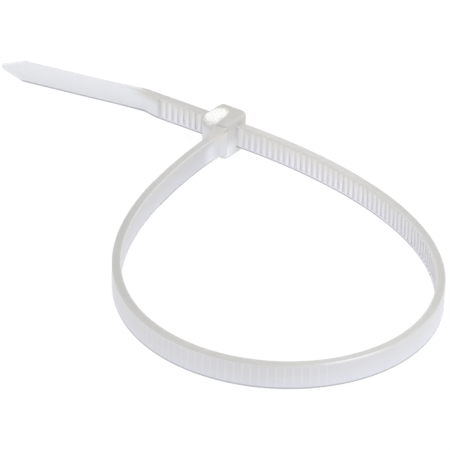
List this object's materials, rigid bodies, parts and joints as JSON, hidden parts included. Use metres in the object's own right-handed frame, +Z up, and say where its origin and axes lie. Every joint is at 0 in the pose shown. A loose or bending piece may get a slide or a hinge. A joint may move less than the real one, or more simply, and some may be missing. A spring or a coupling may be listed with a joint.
{
  "type": "cable tie",
  "caption": "Closed self-locking nylon cable tie standing on its edge: toothed strap in a teardrop loop, box head with slot and pawl, smooth pointed tail.",
  "frame": {"origin": "centre of the head's underside, the flat side that it stands on while the loop is on edge", "axes": "+Z up, across the strap's width; the loop runs from the head towards -Y and the tail points to -X and +Y"},
  "size_m": [0.0735, 0.131, 0.0088],
  "materials": {
    "nylon": "natural translucent nylon, satin, frosted patch on the head"
  },
  "bodies": {
    "root": {"cable_tie": "nylon"}
  },
  "joints": []
}
